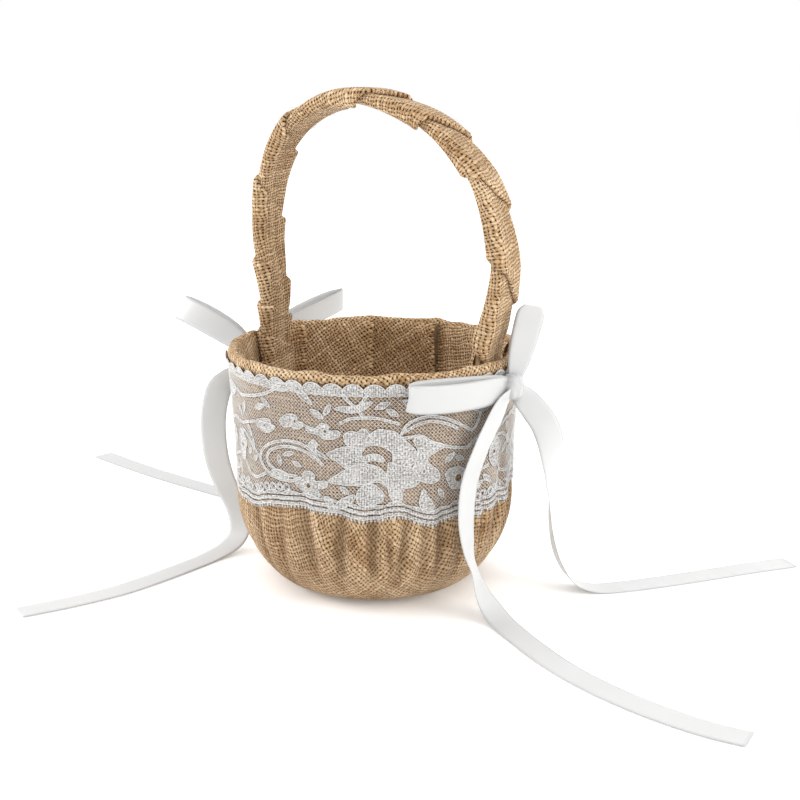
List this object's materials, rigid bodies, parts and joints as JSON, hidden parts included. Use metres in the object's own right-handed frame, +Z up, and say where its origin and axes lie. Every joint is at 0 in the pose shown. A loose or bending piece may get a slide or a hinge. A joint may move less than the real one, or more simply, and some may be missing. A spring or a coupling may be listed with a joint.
{
  "type": "flower girl basket",
  "caption": "Small round bucket basket covered in burlap, with a white lace band, a burlap-wrapped arch handle and satin ribbon bows with trailing tails.",
  "frame": {"origin": "centre of the flat base, on the surface that the basket stands on", "axes": "+Z up; the arch handle stands in the XZ plane, so one bow is at +X and one at -X; -Y is the front"},
  "size_m": [0.4407, 0.2406, 0.2185],
  "materials": {
    "burlap": "plain-weave natural jute burlap, golden brown, matte and slightly hairy",
    "burlap_lining": "the same natural jute burlap, pleated",
    "pail_plastic": "matte moulded plastic, hidden between the burlap layers",
    "grey_board": "plain grey board, hidden under the lining",
    "lace": "white nylon lace: fine net with dense floral cloth work and corded outlines",
    "satin_ribbon": "white polyester satin with a soft sheen and a fine selvedge",
    "handle_strip": "flat steel strip, hidden inside the handle",
    "hot_glue": "clear amber hot-melt glue, hidden behind the handle's feet"
  },
  "bodies": {
    "root": {"base_patch": "burlap", "outer_cover": "burlap", "pail_shell": "pail_plastic", "base_board": "grey_board", "lining_floor": "burlap_lining", "lining_wall": "burlap_lining", "rim_hem": "burlap", "lace_band": "lace", "handle_core": "handle_strip", "handle_wrap": "burlap", "foot_glue_left": "hot_glue", "foot_glue_right": "hot_glue", "bow_knot_left": "satin_ribbon", "bow_knot_right": "satin_ribbon", "bow_loop_left_front": "satin_ribbon", "bow_loop_left_back": "satin_ribbon", "bow_loop_right_front": "satin_ribbon", "bow_loop_right_up": "satin_ribbon", "ribbon_tail_left_front": "satin_ribbon", "ribbon_tail_left_back": "satin_ribbon", "ribbon_tail_right_front": "satin_ribbon", "ribbon_tail_right_side": "satin_ribbon"}
  },
  "joints": []
}
